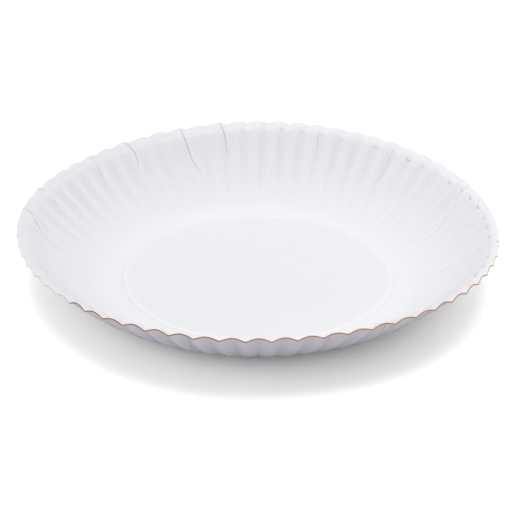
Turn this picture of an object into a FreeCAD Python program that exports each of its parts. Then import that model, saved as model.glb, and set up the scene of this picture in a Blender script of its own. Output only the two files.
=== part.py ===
import FreeCAD, Part
import math
import os

# A paper plate pressed in one piece from a sheet of white coated board.
# From the middle outwards: a flat centre panel, a small step down to the narrow ring that the
# plate stands on, a rising wall with pressed flutes, a crisp fold and a short fluted lip.
# The lower face of the standing ring is at z = 0, and the axis of the plate is Z.

# Board
board_thickness = 0.5

# Centre panel, and the ring that the plate stands on
panel_radius = 63.2
step_width = 3.1
step_height = 1.1
ring_width = 3.4

# Rim and lip, measured to the middle of the board along the low lines of the flutes
rim_radius = 115.0
rim_height = 29.1
lip_width = 4.8
lip_slope = 28.0

# Wall: its slope at the fold, and how far its curve holds its direction at each end
wall_slope = 50.0
foot_reach = 10.0
fold_reach = 20.0

# Flutes: depth from low line to crest, and how narrow the crest is along its length
flute_count = 66
flute_depth = 1.5
crest_narrowness_foot = 2.6
crest_narrowness_fold = 1.4
crest_narrowness_rim = 0.9

# The board has warped: the rim dips at two opposite sides, where it is also drawn in
rim_dip = 2.0
rim_draw = 0.6

# Facets: bands from the ring up to the fold, and the fold lines across one flute, as shares of
# the pitch from crest to crest
wall_bands = 4
lines_across_flute = [0, 0.14, 0.3, 0.5, 0.7, 0.86]

ring_radius = panel_radius + step_width + ring_width
fold_radius = rim_radius - lip_width
fold_height = rim_height - lip_width * math.tan(math.radians(lip_slope))


def between(start, end, share):
    return start + (end - start) * share


def wall_point(share):
    """Radius and height of the board's middle on the wall's curve, share 0 at the ring, 1 at the fold."""
    slope = math.radians(wall_slope)
    curve = Part.BezierCurve()
    curve.setPoles([
        FreeCAD.Vector(ring_radius, board_thickness / 2),
        FreeCAD.Vector(ring_radius + foot_reach, board_thickness / 2),
        FreeCAD.Vector(fold_radius - fold_reach * math.cos(slope), fold_height - fold_reach * math.sin(slope)),
        FreeCAD.Vector(fold_radius, fold_height),
    ])
    point = curve.value(share)
    return point.x, point.y


def stations():
    """Radius, height, flute depth and crest narrowness at each round fold line, from the ring to the rim."""
    lines = []
    for band in range(wall_bands + 1):
        share = band / wall_bands
        radius, height = wall_point(share)
        depth = flute_depth * share * share * (3 - 2 * share)
        lines.append((radius, height, depth, between(crest_narrowness_foot, crest_narrowness_fold, share)))
    lines.append((rim_radius, rim_height, flute_depth, crest_narrowness_rim))
    return lines


def slopes_at(lines):
    """Slope of the board at each round fold line, the mean of the bands before and after it."""
    bands = [math.atan2(end[1] - start[1], end[0] - start[0]) for start, end in zip(lines, lines[1:])]
    slopes = [(before + after) / 2 for before, after in zip(bands, bands[1:])]
    return [0] + slopes + [bands[-1]]


def plate_point(station, slope, side, flute, across):
    """A corner on the upper face (side 1) or the lower face (side -1), with the flute and the warp."""
    radius, height, depth, narrowness = station
    wave = (1 + math.cos(2 * math.pi * across)) / 2
    lift = depth * wave ** narrowness + side * board_thickness / 2
    angle = 2 * math.pi * (flute + 0.5 + across) / flute_count
    wall_share = (radius - ring_radius) / (rim_radius - ring_radius)
    warp = wall_share ** 1.5 * math.cos(2 * angle)
    radius = radius - lift * math.sin(slope) - rim_draw * warp
    height = height + lift * math.cos(slope) - rim_dip * warp
    return FreeCAD.Vector(radius * math.cos(angle), radius * math.sin(angle), height)


def round_lines(side):
    """The corners of one face of the board, one closed row for each round fold line."""
    lines = stations()
    rows = []
    for station, slope in zip(lines, slopes_at(lines)):
        row = []
        for flute in range(flute_count):
            for across in lines_across_flute:
                row.append(plate_point(station, slope, side, flute, across))
        rows.append(row)
    return rows


def flat_face(corners):
    return Part.Face(Part.makePolygon(corners + corners[:1]))


def band_faces(inner, outer):
    """Two flat facets for each stretch between two closed rows of corners."""
    faces = []
    for index in range(len(inner)):
        after = (index + 1) % len(inner)
        faces.append(flat_face([inner[index], outer[index], outer[after]]))
        faces.append(flat_face([inner[index], outer[after], inner[after]]))
    return faces


def centre_faces(side, ring_corners):
    """Panel, step and standing ring on one face of the board."""
    ring_height = board_thickness * (1 + side) / 2
    panel_edge = Part.Wire(Part.makeCircle(panel_radius, FreeCAD.Vector(0, 0, ring_height + step_height)))
    step_edge = Part.Wire(Part.makeCircle(panel_radius + step_width, FreeCAD.Vector(0, 0, ring_height)))
    ring_edge = Part.makePolygon(ring_corners + ring_corners[:1])
    step = Part.makeRuledSurface(panel_edge, step_edge)
    ring = Part.makeFace([ring_edge, step_edge], "Part::FaceMakerBullseye")
    return [Part.Face(panel_edge)] + step.Faces + ring.Faces


def make_plate():
    upper = round_lines(1)
    lower = round_lines(-1)
    faces = centre_faces(1, upper[0]) + centre_faces(-1, lower[0])
    for rows in (upper, lower):
        for inner, outer in zip(rows, rows[1:]):
            faces.extend(band_faces(inner, outer))
    faces.extend(band_faces(upper[-1], lower[-1]))
    skin = Part.Compound(faces)
    skin.sewShape()
    solid = Part.Solid(skin.Shells[0])
    if solid.Volume < 0:
        solid.reverse()
    return solid


plate = make_plate()
print("plate:", "valid" if plate.isValid() else "not valid", "volume", round(plate.Volume), "cubic mm")
os.makedirs("parts", exist_ok=True)
plate.exportStep("parts/plate.step")
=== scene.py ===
# %% [markdown]
# A paper plate, pressed in one piece from a sheet of white coated board.
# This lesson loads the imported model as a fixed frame, and then dresses its one node with a finer
# sheet: rounded flutes, the crushed spots at the fold, the cracks in the coating, and the brown
# core along the cut edge. Everything is in metres, in the frame of the model.

# %% The frame
import math

import bpy
import numpy as np
from mathutils import Matrix, Vector


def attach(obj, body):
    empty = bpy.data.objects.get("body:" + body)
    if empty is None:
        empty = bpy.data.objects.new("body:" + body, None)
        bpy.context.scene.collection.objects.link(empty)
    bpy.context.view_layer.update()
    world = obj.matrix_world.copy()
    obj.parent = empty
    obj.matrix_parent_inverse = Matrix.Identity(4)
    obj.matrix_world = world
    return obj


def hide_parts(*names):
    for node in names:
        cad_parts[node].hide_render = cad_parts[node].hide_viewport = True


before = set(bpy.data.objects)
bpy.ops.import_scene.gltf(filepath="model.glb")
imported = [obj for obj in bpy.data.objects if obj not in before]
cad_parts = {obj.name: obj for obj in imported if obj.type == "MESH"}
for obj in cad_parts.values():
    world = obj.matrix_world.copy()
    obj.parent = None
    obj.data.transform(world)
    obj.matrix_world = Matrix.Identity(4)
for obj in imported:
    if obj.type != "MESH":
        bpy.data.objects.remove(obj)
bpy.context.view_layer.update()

# %% [markdown]
# The sizes are the ones that the model of the plate was made with. They could be measured on its
# mesh, but named values can be read and changed. Heights and radii are taken at the middle of
# the board's thickness, along the low lines of the flutes.

# %% Sizes
MM = 0.001
board_thickness = 0.5 * MM
panel_radius = 63.2 * MM
step_width = 3.1 * MM
step_height = 1.1 * MM
ring_width = 3.4 * MM
rim_radius = 115.0 * MM
rim_height = 29.1 * MM
lip_width = 4.8 * MM
lip_slope = math.radians(28)
wall_slope = math.radians(50)
foot_reach = 10 * MM
fold_reach = 20 * MM
flute_count = 66
flute_depth = 1.5 * MM

ring_radius = panel_radius + step_width + ring_width
ring_height = board_thickness / 2
panel_height = ring_height + step_height
fold_radius = rim_radius - lip_width
fold_height = rim_height - lip_width * math.tan(lip_slope)
pitch = 2 * math.pi / flute_count
print("fold at radius", round(fold_radius / MM, 1), "mm, height", round(fold_height / MM, 1), "mm")

# %% [markdown]
# The profile is what a cut through the plate along a low line shows: a flat panel, a soft step
# down to the standing ring, the curve of the wall, a small round at the fold and the lip.
# It could be drawn by hand as a curve. Here it is worked out row by row, because each row also
# says how deep the flutes are there and how narrow their crests.

# %% Rows of the profile
panel_rows = [0, 0.25, 0.5, 0.75, 0.94]
step_rows = 7
ring_rows = 2
wall_rows = 17
fold_rows = 4
lip_rows = 5
fold_round = 1.0 * MM
lip_curl = 0.28 * MM
lip_wave_start = 0.15
wall_deepening = 0.4
print("rows:", len(panel_rows), "on the panel,", wall_rows + 1, "on the wall,", lip_rows + 1, "on the lip")


# %% Curves of the wall and the lip
def smooth(share):
    share = min(max(share, 0), 1)
    return share * share * (3 - 2 * share)


def between(start, end, share):
    return start + (end - start) * share


def wall_point(share):
    """Radius and height on the wall's curve, share 0 at the ring and 1 at the fold."""
    fold = Vector((fold_radius, fold_height))
    poles = [
        Vector((ring_radius, ring_height)),
        Vector((ring_radius + foot_reach, ring_height)),
        fold - fold_reach * Vector((math.cos(wall_slope), math.sin(wall_slope))),
        fold,
    ]
    back = 1 - share
    weights = [back ** 3, 3 * back ** 2 * share, 3 * back * share ** 2, share ** 3]
    return sum((pole * weight for pole, weight in zip(poles, weights)), Vector((0, 0)))


def lip_point(share):
    """Radius and height on the lip, which flattens a little towards the rim."""
    curl = lip_curl * 4 * share * (1 - share)
    return Vector((between(fold_radius, rim_radius, share), between(fold_height, rim_height, share) + curl))


# %% Every row, from the centre to the rim
def profile():
    """Points of the profile, each with the flute's share of its full depth, and how far the lip's wave has come."""
    rows = [(Vector((share * panel_radius, panel_height)), 0, 0) for share in panel_rows]
    for index in range(step_rows):
        share = index / (step_rows - 1)
        height = between(panel_height, ring_height, smooth(share))
        rows.append((Vector((between(panel_radius, panel_radius + step_width, share), height)), 0, 0))
    for index in range(1, ring_rows):
        rows.append((Vector((ring_radius - ring_width * (1 - index / ring_rows), ring_height)), 0, 0))
    last_share = 1 - fold_round / fold_reach / 3
    for index in range(wall_rows + 1):
        share = last_share * index / wall_rows
        rows.append((wall_point(share), smooth(share) * (1 + wall_deepening * smooth(2 * share - 0.6)), 0))
    wall_end = rows[-1][0]
    lip_start = fold_round / lip_width
    for index in range(1, fold_rows):
        share = index / fold_rows
        rounded = between(between(wall_end, Vector((fold_radius, fold_height)), share),
                          between(Vector((fold_radius, fold_height)), lip_point(lip_start), share), share)
        rows.append((rounded, 1 + wall_deepening * (1 - share), lip_wave_start * share))
    for index in range(lip_rows + 1):
        share = between(lip_start, 1, index / lip_rows)
        rows.append((lip_point(share), 1, between(lip_wave_start, 1, smooth(index / lip_rows * 1.4))))
    return rows


rows = profile()
print(len(rows), "rows from the centre to the rim")

# %% The profile as a small mesh with attributes
def slope_at(index):
    """Slope of the board at a row, from the rows before and after it."""
    before = rows[max(index - 1, 0)][0]
    after = rows[min(index + 1, len(rows) - 1)][0]
    return math.atan2(after.y - before.y, after.x - before.x)


def add_numbers(mesh, name, numbers):
    mesh.attributes.new(name, "FLOAT", "POINT").data.foreach_set("value", numbers)


profile_mesh = bpy.data.meshes.new("plate_profile")
profile_mesh.from_pydata([(row[0].x, 0, row[0].y) for row in rows], [(i, i + 1) for i in range(len(rows) - 1)], [])
add_numbers(profile_mesh, "slope", [slope_at(index) for index in range(len(rows))])
add_numbers(profile_mesh, "depth_share", [row[1] for row in rows])
add_numbers(profile_mesh, "lip_wave", [row[2] for row in rows])
sheet_object = bpy.data.objects.new("pressed_sheet", profile_mesh)
bpy.context.scene.collection.objects.link(sheet_object)
print("steepest slope:", round(math.degrees(max(slope_at(index) for index in range(len(rows)))), 1), "degrees")

# %% [markdown]
# Nodes are easier to read when adding one is a single short line. These helpers add a node, and
# put either a plain number or the output of another node on one of its inputs.

# %% Helpers for node trees
def put(tree, socket, value):
    if isinstance(value, bpy.types.NodeSocket):
        tree.links.new(value, socket)
    else:
        socket.default_value = value


def add_node(tree, kind, values=None, **settings):
    """A node with its settings, and with plain values or other nodes' outputs on its named inputs."""
    made = tree.nodes.new(kind)
    for name, setting in settings.items():
        setattr(made, name, setting)
    for name, value in (values or {}).items():
        put(tree, made.inputs[name], value)
    return made


def calc(tree, operation, *values, clamp=False):
    """One step of arithmetic."""
    made = add_node(tree, "ShaderNodeMath", operation=operation, use_clamp=clamp)
    for socket, value in zip(made.inputs, values):
        put(tree, socket, value)
    return made.outputs[0]


def vector_calc(tree, operation, *values):
    """One step of arithmetic on vectors. The result is a number for a length or a dot product."""
    made = add_node(tree, "ShaderNodeVectorMath", operation=operation)
    for socket, value in zip(made.inputs, values):
        put(tree, socket, value)
    return made.outputs["Value" if operation in ("LENGTH", "DOT_PRODUCT", "DISTANCE") else "Vector"]


# %% [markdown]
# On the real plate a heated die with 66 flutes presses the flat blank. The shape follows a rule:
# one profile turned round the axis, and one wave across each flute. So Geometry Nodes make it.
# A flat grid gives a point for each row and column. Each point reads its radius and height from
# the profile, and is then lifted along the board's normal by the flute's wave. The crests differ
# a little in depth, as the board stretched more in one flute than in the next.

# %% The press as a node tree
def new_tree(name, inputs):
    """A geometry tree with named inputs. Returns the tree, its input node and its output node."""
    tree = bpy.data.node_groups.new(name, "GeometryNodeTree")
    tree.interface.new_socket("Geometry", in_out="INPUT", socket_type="NodeSocketGeometry")
    for label, kind in inputs.items():
        tree.interface.new_socket(label, in_out="INPUT", socket_type=kind)
    tree.interface.new_socket("Geometry", in_out="OUTPUT", socket_type="NodeSocketGeometry")
    return tree, tree.nodes.new("NodeGroupInput"), tree.nodes.new("NodeGroupOutput")


press, sizes_in, sheet_out = new_tree("pressed_plate", {
    "Flutes": "NodeSocketInt",
    "Columns in a flute": "NodeSocketInt",
    "Flute depth": "NodeSocketFloat",
    "Unevenness": "NodeSocketFloat",
    "Seed": "NodeSocketInt",
    "Board": "NodeSocketMaterial",
})
given = sizes_in.outputs
print("press inputs:", ", ".join(socket.name for socket in given if socket.name))

# %% A flat grid: one column for each step round the plate, one row for each point of the profile
columns = calc(press, "ADD", calc(press, "MULTIPLY", given["Flutes"], given["Columns in a flute"]), 1)
profile_size = add_node(press, "GeometryNodeAttributeDomainSize", {"Geometry": given["Geometry"]})
row_count = profile_size.outputs["Point Count"]
blank = add_node(press, "GeometryNodeMeshGrid", {
    "Size X": 1.0, "Size Y": 1.0, "Vertices X": columns, "Vertices Y": row_count})
place = add_node(press, "ShaderNodeSeparateXYZ", {"Vector": press.nodes.new("GeometryNodeInputPosition").outputs[0]})
around = calc(press, "SUBTRACT", 0.5, place.outputs["X"])
outwards = calc(press, "ADD", place.outputs["Y"], 0.5)
row = calc(press, "ROUND", calc(press, "MULTIPLY", outwards, calc(press, "SUBTRACT", row_count, 1)))
print("with the grid:", len(press.nodes), "nodes")


# %% What each row reads from the profile
def read_profile(value, kind):
    return add_node(press, "GeometryNodeSampleIndex", {
        "Geometry": given["Geometry"], "Value": value, "Index": row}, data_type=kind).outputs["Value"]


def read_number(name):
    named = add_node(press, "GeometryNodeInputNamedAttribute", {"Name": name}, data_type="FLOAT")
    return read_profile(named.outputs["Attribute"], "FLOAT")


profile_place = read_profile(press.nodes.new("GeometryNodeInputPosition").outputs[0], "FLOAT_VECTOR")
profile_point = add_node(press, "ShaderNodeSeparateXYZ", {"Vector": profile_place})
slope = read_number("slope")
depth_share = read_number("depth_share")
lip_wave = read_number("lip_wave")
print("with the profile read:", len(press.nodes), "nodes")

# %% [markdown]
# Across the wall a flute is a round channel with a sharp ridge on each side. On the lip it is
# the other way round: broad round scallops with a sharp low line between them. Two powers of
# one wave give both, and the lip's share blends from the first to the second past the fold.

# %% The wave across each flute, and the lift that it gives
ridge_power = 0.55
scallop_power = 0.55
across = calc(press, "MULTIPLY", around, given["Flutes"])
flute_number = calc(press, "FLOOR", across)
phase = calc(press, "COSINE", calc(press, "MULTIPLY", across, 2 * math.pi))
wave = calc(press, "MULTIPLY", calc(press, "SUBTRACT", 1, phase), 0.5, clamp=True)
uneven = add_node(press, "FunctionNodeRandomValue", data_type="FLOAT")
put(press, uneven.inputs[2], calc(press, "SUBTRACT", 1, given["Unevenness"]))
put(press, uneven.inputs[3], calc(press, "ADD", 1, given["Unevenness"]))
put(press, uneven.inputs["ID"], flute_number)
put(press, uneven.inputs["Seed"], given["Seed"])
depth = calc(press, "MULTIPLY", calc(press, "MULTIPLY", given["Flute depth"], depth_share), uneven.outputs[1])
ridge = calc(press, "SUBTRACT", 1, calc(press, "POWER", calc(press, "SUBTRACT", 1, wave), ridge_power))
scallop = calc(press, "POWER", wave, scallop_power)
shape = calc(press, "ADD", ridge, calc(press, "MULTIPLY", lip_wave, calc(press, "SUBTRACT", scallop, ridge)))
lift = calc(press, "MULTIPLY", depth, shape)
print("with the wave:", len(press.nodes), "nodes")

# %% Round the axis, closed at the seam and at the centre
inwards = calc(press, "MULTIPLY", lift, calc(press, "SINE", slope))
upwards = calc(press, "MULTIPLY", lift, calc(press, "COSINE", slope))
radius = calc(press, "SUBTRACT", profile_point.outputs["X"], inwards)
height = calc(press, "ADD", profile_point.outputs["Z"], upwards)
turn = calc(press, "MULTIPLY", around, 2 * math.pi)
round_place = add_node(press, "ShaderNodeCombineXYZ", {
    "X": calc(press, "MULTIPLY", radius, calc(press, "COSINE", turn)),
    "Y": calc(press, "MULTIPLY", radius, calc(press, "SINE", turn)),
    "Z": height,
})
turned = add_node(press, "GeometryNodeSetPosition", {
    "Geometry": blank.outputs["Mesh"], "Position": round_place.outputs[0]})
seam_gap = 0.002 * MM
closed = add_node(press, "GeometryNodeMergeByDistance", {"Geometry": turned.outputs[0], "Distance": seam_gap})
soft = add_node(press, "GeometryNodeSetShadeSmooth", {"Geometry": closed.outputs[0], "Shade Smooth": True})
real = add_node(press, "GeometryNodeRealizeInstances", {"Geometry": soft.outputs[0]})
dressed = add_node(press, "GeometryNodeSetMaterial", {
    "Geometry": real.outputs[0], "Material": given["Board"]})
press.links.new(dressed.outputs[0], sheet_out.inputs["Geometry"])
print("press tree:", len(press.nodes), "nodes")

# %% [markdown]
# The finishes come before the press runs, because the tree ends by setting the board's material.
# The board is bleached and coated on its upper face. The coating is satin, bluish white, and
# slightly cloudy. Below it lies the grain of the fibres, which only shows as a faint bump.
# Where the press stretched the coating too far, it cracked from the rim down the wall, and the
# brown core shows as a hairline. The cracks could be painted on an image. Here each is a straight
# piece between two places on the plate, and the material works out the distance to it, so the
# line stays sharp at any size.

# %% Places on the plate, as an angle in degrees and a radius in millimetres
def flat_place(angle, radius_mm):
    turn = math.radians(angle)
    return Vector((radius_mm * MM * math.cos(turn), radius_mm * MM * math.sin(turn), 0))


# %% The cracks
# Each crack: how strong it is, and its corners from the rim inwards, with the half width in mm
cracks = [
    (0.8, [(161.3, 114.9, 0.22), (160.1, 112.0, 0.2), (160.0, 109.5, 0.17), (160.9, 107.0, 0.13),
           (161.3, 104.8, 0.06)]),
    (0.85, [(172.1, 115.0, 0.2), (172.0, 112.1, 0.22), (172.3, 110.3, 0.2), (172.8, 109.0, 0.12)]),
    (1.0, [(173.4, 108.9, 0.14), (173.8, 107.4, 0.24), (174.5, 105.0, 0.16), (174.6, 103.3, 0.08),
           (174.6, 102.1, 0.05)]),
    (0.8, [(138.4, 114.6, 0.2), (138.8, 110.6, 0.2), (139.1, 107.3, 0.15), (139.6, 104.1, 0.07)]),
    (0.9, [(127.3, 115.0, 0.18), (126.3, 112.0, 0.25), (125.8, 109.5, 0.28), (125.9, 107.2, 0.18),
           (127.1, 102.8, 0.05)]),
    (1.0, [(111.1, 114.6, 0.12), (110.6, 109.7, 0.28), (110.3, 106.8, 0.28), (110.0, 102.6, 0.2),
           (108.9, 97.8, 0.1), (108.1, 94.5, 0.04)]),
    (0.85, [(100.7, 115.0, 0.15), (99.6, 111.3, 0.25), (99.3, 107.7, 0.22), (99.3, 103.9, 0.16),
            (98.9, 100.6, 0.06)]),
    (0.5, [(73.2, 110.0, 0.22), (73.0, 107.6, 0.2), (72.5, 103.8, 0.08)]),
    (0.45, [(50.7, 108.9, 0.15), (50.0, 102.3, 0.15), (51.4, 94.7, 0.06)]),
    (0.4, [(22.4, 113.8, 0.1), (22.9, 110.1, 0.16), (21.7, 105.7, 0.14), (19.0, 97.8, 0.14), (17.9, 92.8, 0.1),
           (17.4, 87.0, 0.05)]),
    (1.0, [(350.6, 112.1, 0.25), (350.3, 115.0, 0.28)]),
    (0.5, [(6.9, 112.4, 0.12), (6.8, 114.8, 0.16)]),
    (0.5, [(1.8, 112.4, 0.12), (1.7, 114.8, 0.16)]),
]
# The same for the outer face of the wall, which the front shows
outer_cracks = [
    (0.9, [(254.4, 113.5, 0.1), (253.9, 107.7, 0.15), (253.6, 103.3, 0.15), (252.2, 93.5, 0.12)]),
    (0.8, [(298.5, 113.5, 0.2), (299.4, 109.1, 0.2), (301.0, 100.7, 0.14), (302.0, 95.0, 0.08)]),
    (0.8, [(317.0, 114.0, 0.22), (318.2, 109.0, 0.22), (318.6, 105.0, 0.1)]),
]
print(len(cracks), "cracks on the inside,", len(outer_cracks), "on the outside")


# %% A node group that draws one straight piece of a hairline
def hairline_group():
    group = bpy.data.node_groups.new("hairline", "ShaderNodeTree")
    for label in ("Place", "From", "To"):
        group.interface.new_socket(label, in_out="INPUT", socket_type="NodeSocketVector")
    for label in ("Half width at start", "Half width at end"):
        group.interface.new_socket(label, in_out="INPUT", socket_type="NodeSocketFloat")
    group.interface.new_socket("Mask", in_out="OUTPUT", socket_type="NodeSocketFloat")
    ends, result = group.nodes.new("NodeGroupInput").outputs, group.nodes.new("NodeGroupOutput")
    along = vector_calc(group, "SUBTRACT", ends["To"], ends["From"])
    away = vector_calc(group, "SUBTRACT", ends["Place"], ends["From"])
    length_squared = vector_calc(group, "DOT_PRODUCT", along, along)
    share = calc(group, "DIVIDE", vector_calc(group, "DOT_PRODUCT", away, along), length_squared, clamp=True)
    scaled = add_node(group, "ShaderNodeVectorMath", {"Vector": along, "Scale": share}, operation="SCALE")
    nearest = vector_calc(group, "ADD", ends["From"], scaled.outputs["Vector"])
    distance = vector_calc(group, "DISTANCE", ends["Place"], nearest)
    growth = calc(group, "SUBTRACT", ends["Half width at end"], ends["Half width at start"])
    half_width = calc(group, "ADD", ends["Half width at start"], calc(group, "MULTIPLY", share, growth))
    mask = calc(group, "SUBTRACT", 1, calc(group, "DIVIDE", distance, half_width), clamp=True)
    group.links.new(mask, result.inputs["Mask"])
    return group


hairline = hairline_group()
print("hairline group:", len(hairline.nodes), "nodes")


# %% All cracks of a list as one mask
def draw_cracks(tree, place, lines):
    """One mask, 0 to 1, of all the cracks in a list. The place has its height set to nothing."""
    soft_edge = 0.95
    strongest = None
    for strength, corners in lines:
        for start, end in zip(corners, corners[1:]):
            piece = add_node(tree, "ShaderNodeGroup", node_tree=hairline)
            for label, value in (("Place", place), ("From", flat_place(*start[:2])), ("To", flat_place(*end[:2])),
                                 ("Half width at start", soft_edge * start[2] * MM),
                                 ("Half width at end", soft_edge * end[2] * MM)):
                put(tree, piece.inputs[label], value)
            mask = calc(tree, "MULTIPLY", piece.outputs["Mask"], strength)
            strongest = mask if strongest is None else calc(tree, "MAXIMUM", strongest, mask)
    return strongest


# %% Helpers for materials
def new_material(name, roughness, specular):
    """A material with its tree, its shader and Object coordinates. Uniform values sit on the shader."""
    material = bpy.data.materials.new(name)
    material.use_nodes = True
    tree = material.node_tree
    shader = tree.nodes["Principled BSDF"]
    shader.inputs["Roughness"].default_value = roughness
    shader.inputs["Specular IOR Level"].default_value = specular
    return material, tree, shader, tree.nodes.new("ShaderNodeTexCoord").outputs["Object"]


def cloud(tree, place, scale, detail=2.0):
    """Soft noise about 0.5. The scale is in patches for each metre."""
    return add_node(tree, "ShaderNodeTexNoise", {"Vector": place, "Scale": scale, "Detail": detail}).outputs["Fac"]


def blend_colours(tree, share, first, second):
    mix = add_node(tree, "ShaderNodeMix", data_type="RGBA")
    put(tree, mix.inputs["Factor"], share)
    put(tree, mix.inputs[6], first)
    put(tree, mix.inputs[7], second)
    return mix.outputs[2]


def colour(red, green, blue):
    return (red, green, blue, 1)


# %% [markdown]
# More marks follow the press. The step round the panel, the ring and the lower ends of the crests on the
# right are painted whiter, as painted highlights. The wall is painted a little darker and more lilac than
# the panel, as painted shade, and the lip is painted pale on the right, a painted highlight. Fine wrinkles
# run inwards on the wall, where the board had to gather. At the fold each crest was crushed, and shows a
# small V, clearest on the right; its darkening is painted shade. The marks could be painted on an image.
# Here all of them read the angle and the radius of the place on the plate, so they sit on the real features
# of the shape.

# %% Sizes of the marks
# Painted highlights, in mm from the axis: the middle and the half width
panel_edge_highlight_band = (panel_radius / MM + 0.6, 1.4)
ring_highlight_band = (70, 11)
crest_highlight_band = (90, 17)
# Wrinkles: how close they lie, their length in mm, and where on the wall they start
wrinkle_closeness, wrinkle_length = 42, 14
wrinkle_start, wrinkle_full = 72, 90
# Across a flute, as a share of the way from one low line to the next
crest_middle, crest_half_width = 0.5, 0.2
crushed_middle, crushed_spread = 0.18, 0.12
# The small V in mm: its distance from the axis, slant, half width of its line, and ends of its arms
crushed_radius, crushed_radius_spread = 108.3, 1.6
crushed_slant, crushed_half_width = 0.8, 0.4
crushed_end, crushed_whole = 1.5, 0.9
crushed_elsewhere, crushed_weakest = 0.1, 0.3
# The side of the plate where a mark is clearest, in radians
crest_highlight_angle, crushed_angle, lip_highlight_angle = 0.1, 0.3, 0.6
side_start, side_full = -0.1, 0.7
print("one flute at the fold:", round(pitch * fold_radius / MM, 1), "mm wide")


# %% Helpers for marks that follow the shape
def round_place_nodes(tree, place):
    """The flat place, its distance from the axis in mm, and its direction from the axis."""
    flat = vector_calc(tree, "MULTIPLY", place, Vector((1, 1, 0)))
    from_axis = calc(tree, "MULTIPLY", vector_calc(tree, "LENGTH", flat), 1 / MM)
    return flat, from_axis, vector_calc(tree, "NORMALIZE", flat)


def bell(tree, value, middle, half_width):
    """1 at the middle, falling to 0 at the half width to either side."""
    away = calc(tree, "ABSOLUTE", calc(tree, "SUBTRACT", value, middle))
    return calc(tree, "SUBTRACT", 1, calc(tree, "DIVIDE", away, half_width), clamp=True)


def ramp(tree, value, start, end):
    """0 before the start and 1 after the end, or the other way round where the end is the smaller."""
    return add_node(tree, "ShaderNodeMapRange", {"Value": value, "From Min": start, "From Max": end},
                    interpolation_type="SMOOTHSTEP").outputs["Result"]


# %% Wrinkles on the wall
def wrinkles(tree, direction, from_axis):
    """Fine wrinkles that run inwards on the wall: noise that is quick round the plate and slow along the radius."""
    around = vector_calc(tree, "MULTIPLY", direction, Vector((wrinkle_closeness, wrinkle_closeness, 0)))
    parts = add_node(tree, "ShaderNodeSeparateXYZ", {"Vector": around})
    stretched = add_node(tree, "ShaderNodeCombineXYZ", {
        "X": parts.outputs["X"], "Y": parts.outputs["Y"], "Z": calc(tree, "DIVIDE", from_axis, wrinkle_length)})
    noise = cloud(tree, stretched.outputs[0], 1.0, 2)
    return calc(tree, "MULTIPLY", noise, ramp(tree, from_axis, wrinkle_start, wrinkle_full))


# %% Where in a flute, and on which side of the plate
def flute_nodes(tree, place):
    """The angle round the plate, the number of the flute there, and the share of the way across it."""
    parts = add_node(tree, "ShaderNodeSeparateXYZ", {"Vector": place})
    angle = calc(tree, "ARCTAN2", parts.outputs["Y"], parts.outputs["X"])
    flutes = calc(tree, "DIVIDE", angle, pitch)
    number = calc(tree, "FLOOR", flutes)
    return angle, number, calc(tree, "SUBTRACT", flutes, number)


def facing(tree, angle, middle):
    """1 on one side of the plate, about a middle angle, and 0 on the other."""
    return ramp(tree, calc(tree, "COSINE", calc(tree, "SUBTRACT", angle, middle)), side_start, side_full)


# %% Painted highlights on the crests
def crest_highlights(tree, place, from_axis):
    """A painted highlight on the low end of each crest on the right."""
    angle, _, across = flute_nodes(tree, place)
    crest = bell(tree, across, crest_middle, crest_half_width)
    length = bell(tree, from_axis, *crest_highlight_band)
    return calc(tree, "MULTIPLY", calc(tree, "MULTIPLY", crest, length), facing(tree, angle, crest_highlight_angle))


# %% Crushed spots at the fold
def crushed_spots(tree, place, from_axis):
    """A small V at the fold of each crest, uneven in strength and place."""
    angle, number, share_across = flute_nodes(tree, place)
    luck = add_node(tree, "ShaderNodeTexWhiteNoise", {"W": number}, noise_dimensions="1D")
    chance = add_node(tree, "ShaderNodeSeparateColor", {"Color": luck.outputs["Color"]}).outputs
    spot = calc(tree, "ADD", crushed_middle, calc(tree, "MULTIPLY", chance["Red"], crushed_spread))
    across = calc(tree, "SUBTRACT", share_across, spot)
    sideways = calc(tree, "ABSOLUTE", calc(tree, "MULTIPLY", across, pitch * fold_radius / MM))
    middle = calc(tree, "ADD", crushed_radius, calc(tree, "MULTIPLY", chance["Green"], crushed_radius_spread))
    arm = calc(tree, "ADD", middle, calc(tree, "MULTIPLY", sideways, crushed_slant))
    stroke = bell(tree, calc(tree, "SUBTRACT", from_axis, arm), 0, crushed_half_width)
    short = calc(tree, "MULTIPLY", stroke, ramp(tree, sideways, crushed_end, crushed_whole))
    by_side = calc(tree, "MULTIPLY", facing(tree, angle, crushed_angle), 1 - crushed_elsewhere)
    by_luck = calc(tree, "MULTIPLY", chance["Blue"], 1 - crushed_weakest)
    strength = calc(tree, "MULTIPLY", calc(tree, "ADD", crushed_elsewhere, by_side),
                    calc(tree, "ADD", crushed_weakest, by_luck))
    return calc(tree, "MULTIPLY", short, strength)


# %% Colours and depths of the white board
# brown of the core in the cracks, and the colour of the painted shade in the crushed V
core_brown_and_painted_shade = colour(0.19, 0.115, 0.095)
# painted highlight: the white of the step, the ring and the crests
painted_highlight_white = colour(0.945, 0.95, 0.965)
# painted highlight: the pale lip on the right
lip_highlight_white = colour(0.915, 0.905, 0.937)
# painted shade: the wall darker and more lilac than the panel
wall_shade_lilac = colour(0.852, 0.843, 0.878)
# shares of the painted highlights, of the painted shade on the wall and of the painted shade in the crushed V
panel_edge_highlight_share, ring_highlight_share, crest_highlight_share, wall_shade_share, crushed_shade_share = 0.65, 0.35, 0.7, 0.7, 0.2
# where the painted shade on the wall begins and where it is full, in mm from the axis
wall_shade_start, wall_shade_full = 76, 104
lip_highlight_start, lip_highlight_full = 109.5, 111.5
fine_fibres, coarse_fibres, patches = 2200, 380, 90
wrinkle_relief, crushed_relief, crack_relief = 14, 48, 10
print("the wall turns lilac from", wall_shade_start, "to", wall_shade_full, "mm from the axis")


def add_times(tree, total, operation, value, factor):
    """The total with a multiple of a value added or taken away."""
    return calc(tree, operation, total, calc(tree, "MULTIPLY", value, factor))
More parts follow.
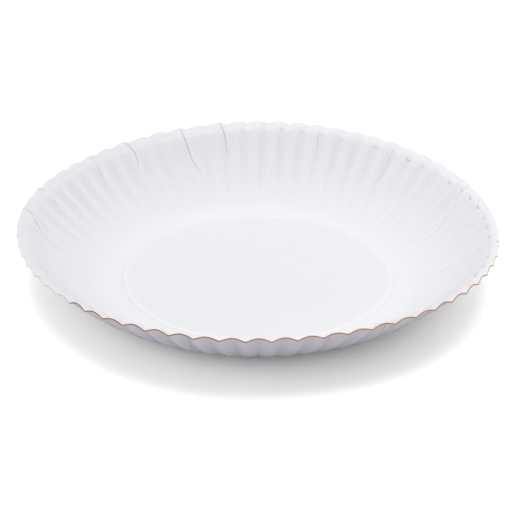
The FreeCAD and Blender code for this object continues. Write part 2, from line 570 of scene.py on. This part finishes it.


# %% Painted highlights and painted shade in the tint
def press_tints(tree, place, from_axis, tint):
    """Painted highlights on the step, the ring and the crests, painted shade on the wall, and a painted highlight on
    the lip on the right, all on the upper face.
    """
    # painted highlights on the panel's edge, the ring and the crests
    panel_edge = calc(tree, "MULTIPLY", bell(tree, from_axis, *panel_edge_highlight_band), panel_edge_highlight_share)
    ring = calc(tree, "MULTIPLY", bell(tree, from_axis, *ring_highlight_band), ring_highlight_share)
    crests = calc(tree, "MULTIPLY", crest_highlights(tree, place, from_axis), crest_highlight_share)
    painted_highlights = calc(tree, "MAXIMUM", calc(tree, "MAXIMUM", panel_edge, ring), crests)
    tint = blend_colours(tree, painted_highlights, tint, painted_highlight_white)
    # painted shade on the wall, growing outwards
    wall = calc(tree, "MULTIPLY", ramp(tree, from_axis, wall_shade_start, wall_shade_full), wall_shade_share)
    tint = blend_colours(tree, wall, tint, wall_shade_lilac)
    # painted highlight on the lip, on the right side only
    lip_lit_side = facing(tree, flute_nodes(tree, place)[0], lip_highlight_angle)
    lip = calc(tree, "MULTIPLY", ramp(tree, from_axis, lip_highlight_start, lip_highlight_full), lip_lit_side)
    return blend_colours(tree, lip, tint, lip_highlight_white)


# %% The coated upper face and the plain lower face
def board_finish(name, light, dark, lines, roughness, fibre_depth, upper):
    """White board: a cloudy tint, fibres as a faint bump, and brown where the coating is cracked."""
    material, tree, shader, place = new_material(name, roughness, 0.3)
    flat, from_axis, direction = round_place_nodes(tree, place)
    tint = blend_colours(tree, cloud(tree, place, patches, 4), light, dark)
    relief = add_times(tree, cloud(tree, place, fine_fibres, 3), "ADD", cloud(tree, place, coarse_fibres, 2), 2)
    relief = add_times(tree, relief, "ADD", wrinkles(tree, direction, from_axis), wrinkle_relief)
    if upper:
        # painted highlights and painted shade on the upper face
        tint = press_tints(tree, place, from_axis, tint)
        crushed = crushed_spots(tree, place, from_axis)
        # painted shade in the crushed V, darkened towards brown; its dent is real bump
        tint = blend_colours(tree, calc(tree, "MULTIPLY", crushed, crushed_shade_share), tint, core_brown_and_painted_shade)
        relief = add_times(tree, relief, "SUBTRACT", crushed, crushed_relief)
    cracked = draw_cracks(tree, flat, lines)
    put(tree, shader.inputs["Base Color"], blend_colours(tree, cracked, tint, core_brown_and_painted_shade))
    relief = add_times(tree, relief, "SUBTRACT", cracked, crack_relief)
    bump = add_node(tree, "ShaderNodeBump", {"Height": relief, "Strength": 1.0, "Distance": fibre_depth})
    put(tree, shader.inputs["Normal"], bump.outputs["Normal"])
    return material


coated_face = board_finish("coated_board", colour(0.872, 0.876, 0.897), colour(0.849, 0.854, 0.878), cracks,
                           0.55, 0.006 * MM, upper=True)
under_face = board_finish("uncoated_board", colour(0.80, 0.785, 0.84), colour(0.775, 0.758, 0.82), outer_cracks,
                          0.75, 0.008 * MM, upper=False)
print("upper face:", len(coated_face.node_tree.nodes), "nodes, lower face:", len(under_face.node_tree.nodes))

# %% [markdown]
# The board is cut before it is pressed, so the cut shows the kraft core: an orange brown line
# no thicker than the board. Round the back and the left the coating was dragged over the cut,
# and the line is pale there. The line could be a thin band of its own. Here it is only the finish
# of the narrow faces at the rim, so it can't come loose from the board. The angle round the plate
# decides between brown and pale, with noise to break up the change.

# %% The cut edge
core_middle = math.radians(-77)
core_end, core_whole = math.radians(63), math.radians(58)
change_patches, change_width = 160, 0.3
streak_scale, streak_share = 1400, 0.35
coating_over_cut = colour(0.80, 0.80, 0.82)
kraft_left, kraft_right = colour(0.27, 0.085, 0.035), colour(0.60, 0.27, 0.05)
kraft_streak = colour(0.72, 0.42, 0.22)


def edge_finish(name):
    """Kraft core at the front, and pale coating over the cut elsewhere."""
    material, tree, shader, place = new_material(name, 0.8, 0.15)
    parts = add_node(tree, "ShaderNodeSeparateXYZ", {"Vector": place})
    angle = calc(tree, "ARCTAN2", parts.outputs["Y"], parts.outputs["X"])
    patchy = calc(tree, "MULTIPLY", calc(tree, "SUBTRACT", cloud(tree, place, change_patches), 0.5), change_width)
    from_middle = calc(tree, "ADD", calc(tree, "ABSOLUTE", calc(tree, "SUBTRACT", angle, core_middle)), patchy)
    shown = ramp(tree, from_middle, core_end, core_whole)
    streaks = cloud(tree, vector_calc(tree, "MULTIPLY", place, Vector((1, 1, 6))), streak_scale, 3)
    to_right = ramp(tree, parts.outputs["X"], -rim_radius, rim_radius)
    kraft = blend_colours(tree, to_right, kraft_left, kraft_right)
    kraft = blend_colours(tree, calc(tree, "MULTIPLY", streaks, streak_share), kraft, kraft_streak)
    put(tree, shader.inputs["Base Color"], blend_colours(tree, shown, coating_over_cut, kraft))
    bump = add_node(tree, "ShaderNodeBump", {"Height": streaks, "Strength": 1.0, "Distance": 0.03 * MM})
    put(tree, shader.inputs["Normal"], bump.outputs["Normal"])
    return material


cut_edge = edge_finish("cut_edge")
print("finishes:", coated_face.name, under_face.name, cut_edge.name)

# %% [markdown]
# The modifier runs the press. Its inputs are set by their identifiers before it is evaluated,
# and the result becomes a plain mesh, so that the board can be worked by hand afterwards.

# %% Running the press
columns_in_a_flute = 16


def set_inputs(modifier, values):
    for item in modifier.node_group.interface.items_tree:
        if item.item_type == "SOCKET" and item.in_out == "INPUT" and item.name in values:
            modifier[item.identifier] = values[item.name]


def plain_mesh(thing, name):
    """What the object's modifiers give, as a mesh of its own."""
    seen = thing.evaluated_get(bpy.context.evaluated_depsgraph_get())
    mesh = bpy.data.meshes.new_from_object(seen)
    mesh.name = name
    return mesh


pressing = sheet_object.modifiers.new("press", "NODES")
pressing.node_group = press
set_inputs(pressing, {"Flutes": flute_count, "Columns in a flute": columns_in_a_flute, "Flute depth": flute_depth,
                      "Unevenness": 0.16, "Seed": 7, "Board": coated_face})
sheet = plain_mesh(sheet_object, "pressed_sheet")
bpy.data.objects.remove(sheet_object)
print("pressed sheet:", len(sheet.vertices), "points,", len(sheet.polygons), "faces")

# %% [markdown]
# A real plate is never as true as its die. The board has warped since it was pressed: the rim
# dips at two opposite sides, with smaller waves on top. At the fold each crest was crushed into
# a small dent, clearest on the right. And the board stands up a little along each crack.
# All that could be sculpted by hand. Numbers do it here, so that the board stands up just where
# the finish draws a crack, and every run gives the same plate.

# %% Points of the sheet as numbers
def read_points(mesh):
    flat = np.empty(3 * len(mesh.vertices))
    mesh.vertices.foreach_get("co", flat)
    return flat.reshape(-1, 3)


points = read_points(sheet)
point_angle = np.arctan2(points[:, 1], points[:, 0])
point_radius = np.hypot(points[:, 0], points[:, 1])
point_height = points[:, 2].copy()
wall_share = np.clip((point_radius - ring_radius) / (rim_radius - ring_radius), 0, 1)
print(np.count_nonzero(wall_share), "of", len(points), "points lie on the wall and the lip")

# %% Dents at the fold, one on the flank of each crest
dent_length = 1.5
dent_width = 1.0
dent_depth = 0.42
dent_across = 0.36
luck = np.random.default_rng(11)
for flute in range(flute_count):
    angle = (flute + dent_across + luck.uniform(-0.08, 0.08)) * pitch
    dent_radius = fold_radius + luck.uniform(-1.4, 0.6) * MM
    side = 0.35 + 0.65 * max(0, math.cos(angle - crushed_angle))
    depth_here = dent_depth * side * luck.uniform(0.4, 1.2)
    turned = (point_angle - angle + math.pi) % (2 * math.pi) - math.pi
    sideways = turned * dent_radius / MM
    lengthways = (point_radius - dent_radius) / MM
    near = np.clip(1 - (sideways / dent_width) ** 2 - (lengthways / dent_length) ** 2, 0, 1)
    point_height -= depth_here * near ** 1.5 * MM
print("deepest dent:", round((points[:, 2] - point_height).max() / MM, 2), "mm")

# %% The board stands up beside each crack
crack_reach = 1.3
crack_lift = 0.16
for strength, corners in cracks:
    for start, end in zip(corners, corners[1:]):
        first, last = np.array(flat_place(*start[:2]))[:2], np.array(flat_place(*end[:2]))[:2]
        along = last - first
        share = np.clip(((points[:, :2] - first) @ along) / (along @ along), 0, 1)
        distance = np.linalg.norm(points[:, :2] - first - share[:, None] * along, axis=1) / MM
        point_height += crack_lift * strength * np.exp(-(distance / crack_reach) ** 2) * MM
print("highest lift beside a crack:", round((point_height - points[:, 2]).max() / MM, 2), "mm")

# %% The warp, as waves round the rim: number of waves, then mm of height and of radius
warp_waves = [
    (1, (0.32, 0.10), (-0.13, 0.05)),
    (2, (-1.98, -0.12), (-0.57, -0.87)),
    (3, (-0.46, -0.45), (0.03, 0.41)),
    (4, (-0.12, -0.21), (-0.23, -0.19)),
    (5, (-0.10, 0.04), (-0.43, 0.20)),
]
warp_share = wall_share ** 1.5 * MM
for waves, rise, spread in warp_waves:
    cosine, sine = np.cos(waves * point_angle), np.sin(waves * point_angle)
    point_height += warp_share * (rise[0] * cosine + rise[1] * sine)
    point_radius = point_radius + warp_share * (spread[0] * cosine + spread[1] * sine)
moved = np.stack([point_radius * np.cos(point_angle), point_radius * np.sin(point_angle), point_height], axis=1)
sheet.vertices.foreach_set("co", moved.ravel())
sheet.update()
rim_heights = moved[wall_share > 0.98, 2] / MM
print("rim height from", round(rim_heights.min(), 1), "to", round(rim_heights.max(), 1), "mm")

# %% [markdown]
# Up to here the board has no thickness. A second sheet could be made below the first and joined
# to it round the rim. The Solidify modifier does both: it gives the board half a millimetre about
# its middle, closed at the rim, and hands the lower face and the rim finishes of their own.

# %% The board's thickness
sheet.materials.clear()
for finish in (coated_face, under_face, cut_edge):
    sheet.materials.append(finish)
thick_object = bpy.data.objects.new("thick_sheet", sheet)
bpy.context.scene.collection.objects.link(thick_object)
thickening = thick_object.modifiers.new("board", "SOLIDIFY")
thickening.thickness = board_thickness
thickening.offset = 0
thickening.use_even_offset = True
thickening.thickness_clamp = 0
thickening.material_offset = 1
thickening.material_offset_rim = 2
plate_mesh = plain_mesh(thick_object, "paper_plate")
bpy.data.objects.remove(thick_object)
print("board with its thickness:", len(plate_mesh.vertices), "points")

# %% Sharp edges where the cut meets the faces
def sharpen_between_finishes(mesh):
    finish_of = {}
    for face in mesh.polygons:
        for key in face.edge_keys:
            finish_of.setdefault(key, set()).add(face.material_index)
    for edge in mesh.edges:
        edge.use_edge_sharp = len(finish_of.get(edge.key, ())) > 1


sharpen_between_finishes(plate_mesh)
triangles = sum(len(face.vertices) - 2 for face in plate_mesh.polygons)
print("plate:", triangles, "triangles")

# %% The finished piece
plate = bpy.data.objects.new("paper_plate", plate_mesh)
bpy.context.scene.collection.objects.link(plate)
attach(plate, "root")
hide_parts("plate")
print("finished piece:", plate.name)

# %% [markdown]
# The plate stands on a white ground that runs out to nothing but keeps the soft shadow. For the
# camera, and in mirrors, the ground's colour is well above white, through Light Path: where it
# is lit it clips to plain white, and only the shadow turns grey. Stronger lamps would do the same
# to the ground, but they would wash out the plate. For all other rays the ground is plain pale
# board that throws some light up at the plate.

# %% The floor
floor_half = 4.0
ground_seen = colour(1.6, 1.615, 1.555)
ground_glow = 0.04
ground_plain = colour(0.72, 0.72, 0.72)
floor_corners = [(x * floor_half, y * floor_half, 0) for x, y in ((-1, -1), (1, -1), (1, 1), (-1, 1))]
floor_mesh = bpy.data.meshes.new("floor")
floor_mesh.from_pydata(floor_corners, [], [(0, 1, 2, 3)])
floor = bpy.data.objects.new("floor", floor_mesh)
bpy.context.scene.collection.objects.link(floor)
print("floor:", 2 * floor_half, "m wide")


# %% The floor's finish
def floor_finish():
    """White ground: brighter than white for the camera, plain pale board for all other rays."""
    material = bpy.data.materials.new("white_ground")
    material.use_nodes = True
    tree = material.node_tree
    tree.nodes.clear()
    bright = add_node(tree, "ShaderNodeBsdfDiffuse", {"Color": ground_seen}).outputs[0]
    glow = add_node(tree, "ShaderNodeEmission", {"Color": colour(1, 1, 1), "Strength": ground_glow}).outputs[0]
    plain = add_node(tree, "ShaderNodeBsdfDiffuse", {"Color": ground_plain}).outputs[0]
    seen = add_node(tree, "ShaderNodeAddShader")
    put(tree, seen.inputs[0], bright)
    put(tree, seen.inputs[1], glow)
    path = tree.nodes.new("ShaderNodeLightPath").outputs
    mirrored = calc(tree, "MAXIMUM", path["Is Glossy Ray"], path["Is Transmission Ray"])
    chosen = add_node(tree, "ShaderNodeMixShader")
    put(tree, chosen.inputs[0], calc(tree, "MAXIMUM", path["Is Camera Ray"], mirrored))
    put(tree, chosen.inputs[1], plain)
    put(tree, chosen.inputs[2], seen.outputs[0])
    put(tree, tree.nodes.new("ShaderNodeOutputMaterial").inputs["Surface"], chosen.outputs[0])
    return material


floor_mesh.materials.append(floor_finish())
print("ground finish:", floor_mesh.materials[0].name)

# %% [markdown]
# The light is a soft studio light: a pale room all round, a large lamp straight above, and two
# weaker ones. The one above makes the flat panel brighter than the wall. The one on the left is
# low, so it draws the flutes at the back. The one behind on the right fills the left wall and
# the front, and hardly reaches the back wall, so it doesn't wash the flutes out again.

# %% The pale room
sky_level = 0.495

world = bpy.data.worlds.new("pale_room")
bpy.context.scene.world = world
world.use_nodes = True
sky = world.node_tree
sky.nodes.clear()
room = add_node(sky, "ShaderNodeBackground", {"Color": colour(1, 1, 1), "Strength": sky_level})
backdrop = add_node(sky, "ShaderNodeBackground", {"Color": colour(1, 1, 1), "Strength": 1.0})
sky_path = sky.nodes.new("ShaderNodeLightPath").outputs
sky_choice = add_node(sky, "ShaderNodeMixShader")
put(sky, sky_choice.inputs[0], sky_path["Is Camera Ray"])
put(sky, sky_choice.inputs[1], room.outputs[0])
put(sky, sky_choice.inputs[2], backdrop.outputs[0])
put(sky, sky.nodes.new("ShaderNodeOutputWorld").inputs["Surface"], sky_choice.outputs[0])

print("the room's light:", sky_level)

# %% The lamps
lamp_distance = 1.6


def add_lamp(name, angle, height_angle, size, energy):
    """A round soft lamp that looks at the plate, by its angle round the axis and its height above the floor."""
    data = bpy.data.lights.new(name, "AREA")
    data.shape = "DISK"
    data.size = size
    data.energy = energy
    lamp = bpy.data.objects.new(name, data)
    turn, rise = math.radians(angle), math.radians(height_angle)
    outwards = Vector((math.cos(turn), math.sin(turn), 0))
    lamp.location = lamp_distance * (math.cos(rise) * outwards + math.sin(rise) * Vector((0, 0, 1)))
    lamp.rotation_euler = (-lamp.location).to_track_quat("-Z", "Y").to_euler()
    bpy.context.scene.collection.objects.link(lamp)


add_lamp("lamp_above", 0, 90, 1.4, 11.6)
add_lamp("lamp_left", 195, 22, 0.9, 3.3)
add_lamp("lamp_behind", 30, 42, 1.4, 3.2)

# %% [markdown]
# The camera looks down at 26 degrees from 0.83 m. It could be placed by eye. Its place and its
# lens were worked out instead, from where the rim, the flutes and the centre panel lie in the
# picture, because the outline of a shallow round shape changes with every degree.

# %% Where the camera stands, and what it looks at
camera_height = math.radians(26.19)
camera_distance = 7.204 * rim_radius
camera_turn = math.radians(-0.10)
look_right = 0.00099
look_up = -0.0217
camera_roll = 0.00202
focal_pixels = 1746.0
picture_width = 520
sensor_width = 36.0

aim = Vector((0, 0, rim_height + board_thickness / 2))
away = Vector((0, -math.cos(camera_height), math.sin(camera_height)))
side = Vector((1, 0, 0))
forward = (-away + look_right * side + look_up * side.cross(-away)).normalized()
flat_side = forward.cross(Vector((0, 0, 1))).normalized()
upright = flat_side.cross(forward)
camera_side = math.cos(camera_roll) * flat_side + math.sin(camera_roll) * upright
camera_up = -math.sin(camera_roll) * flat_side + math.cos(camera_roll) * upright
pose = Matrix((camera_side, camera_up, -forward)).transposed().to_4x4()
pose.translation = aim + camera_distance * away
print("camera at", [round(value, 3) for value in pose.translation])

# %% The camera
camera_data = bpy.data.cameras.new("camera")
camera_data.sensor_width = sensor_width
camera_data.lens = focal_pixels / picture_width * sensor_width
camera_data.clip_end = 20
camera = bpy.data.objects.new("camera", camera_data)
camera.matrix_world = Matrix.Rotation(camera_turn, 4, "Z") @ pose
bpy.context.scene.collection.objects.link(camera)
bpy.context.scene.camera = camera
bpy.context.scene.view_settings.view_transform = "Standard"
print("lens", round(camera_data.lens, 1), "mm")
